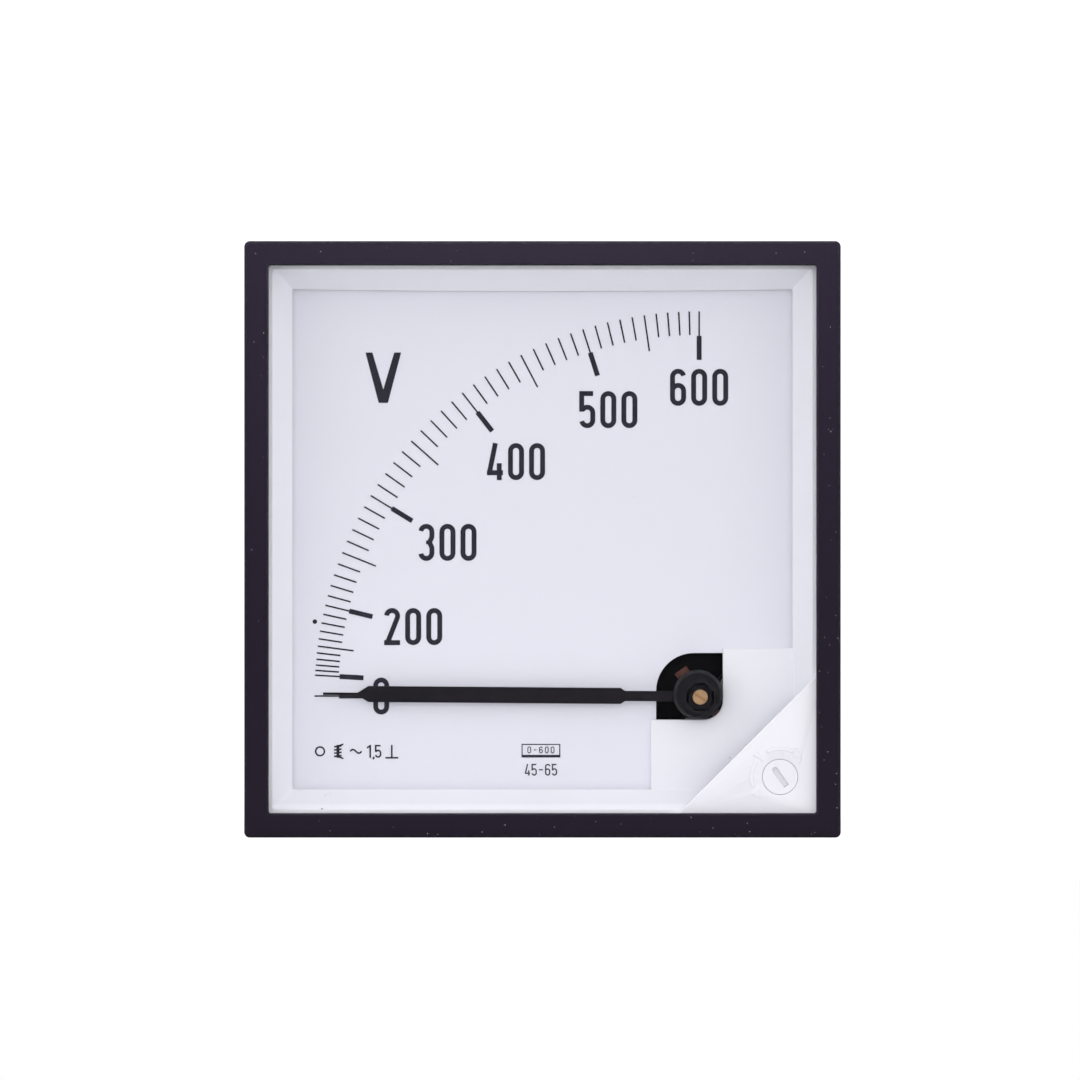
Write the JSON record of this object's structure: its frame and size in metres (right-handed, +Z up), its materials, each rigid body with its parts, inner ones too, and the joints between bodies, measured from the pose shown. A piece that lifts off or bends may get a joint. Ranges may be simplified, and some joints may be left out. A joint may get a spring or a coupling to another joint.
{
  "type": "analog panel meter",
  "caption": "Square panel voltmeter with a quadrant scale, a black front frame, a pivoted pointer and a screwdriver zero adjuster.",
  "frame": {"origin": "middle of the front frame's rear face, which lies on the front of the panel", "axes": "+X to the right as seen from the front, +Y back through the panel towards the terminals, +Z up"},
  "size_m": [0.096, 0.0655, 0.096],
  "materials": {
    "bezel_plastic": "satin",
    "gasket_rubber": "matt",
    "clear_glass": "clear, polished",
    "white_plastic": "fine matt",
    "dial_paint": "matt enamel",
    "ink": "matt printing ink",
    "case_plastic": "moulded, fine matt",
    "turret_metal": "satin black lacquer",
    "pointer_metal": "matt black paint",
    "black_plastic": "moulded, matt",
    "steel": "turned, bright",
    "zinc_steel": "zinc plated",
    "turned_brass": "turned, bright",
    "spring_bronze": "drawn strip",
    "lever_copper": "rolled sheet, slightly dull",
    "ruby": "polished synthetic stone",
    "aluminium": "thin sheet, bright",
    "soft_iron": "annealed, grey",
    "former_plastic": "moulded, matt",
    "winding": "enamelled wire",
    "board": "laminated board",
    "resistor_glaze": "glazed",
    "red_wire": "smooth insulation"
  },
  "bodies": {
    "meter_body": {"front_frame": "bezel_plastic", "glass_gasket": "gasket_rubber", "front_glass": "clear_glass", "zero_corner": "white_plastic", "dial_frame": "white_plastic", "dial_plate": "dial_paint", "scale_marks": "ink", "scale_numerals": "ink", "unit_mark": "ink", "dial_symbols": "ink", "case": "case_plastic", "front_bridge": "turret_metal", "bridge_screws": "zinc_steel", "front_bearing_screw": "turned_brass", "front_jewel": "ruby", "lever_bush": "turned_brass", "movement_plate": "black_plastic", "movement_screws": "zinc_steel", "plate_pillars": "turned_brass", "pillar_screws": "zinc_steel", "rear_plate": "black_plastic", "coil_former": "former_plastic", "coil_winding": "winding", "fixed_vane": "soft_iron", "damping_chamber": "black_plastic", "damping_cover": "aluminium", "rear_bridge": "zinc_steel", "rear_bridge_screws": "zinc_steel", "rear_bearing_screw": "turned_brass", "rear_locknut": "zinc_steel", "rear_jewel": "ruby", "resistor_board": "board", "series_resistors": "resistor_glaze", "board_screws": "zinc_steel", "terminal_stud_left": "turned_brass", "terminal_stud_right": "turned_brass", "solder_tags": "zinc_steel", "inner_nuts": "turned_brass", "terminal_washers": "zinc_steel", "terminal_nuts": "turned_brass", "lead_wires": "red_wire"},
    "movement": {"pointer": "pointer_metal", "pointer_hub": "turned_brass", "spindle": "steel", "hairspring_collet": "turned_brass", "hairspring": "spring_bronze", "balance_arms": "steel", "balance_weights": "turned_brass", "moving_vane": "soft_iron", "vane_carriers": "aluminium", "damping_vane": "aluminium"},
    "adjuster": {"zero_adjuster": "white_plastic", "adjuster_clip": "zinc_steel"},
    "lever": {"zero_lever": "lever_copper"}
  },
  "joints": [
    {"name": "movement_pivot", "type": "hinge", "parent": "meter_body", "child": "movement", "pos_m": [0.0255, 0.018, -0.0255], "axis": [0, 1, 0], "range_deg": [-2.5, 92.5], "stiffness_Nm_per_rad": 0.0002, "deforming": ["hairspring"]},
    {"name": "zero_adjuster_turn", "type": "hinge", "parent": "meter_body", "child": "adjuster", "pos_m": [0.0383, 0, -0.0383], "axis": [0, 1, 0], "range_deg": [-60, 60]},
    {"name": "zero_lever_pivot", "type": "hinge", "parent": "meter_body", "child": "lever", "pos_m": [0.0255, 0.0041, -0.0255], "axis": [0, 1, 0], "range_deg": [-3, 3]}
  ],
  "couplings": [
    {"joint": "zero_lever_pivot", "follows": "zero_adjuster_turn", "ratio": -0.048}
  ]
}
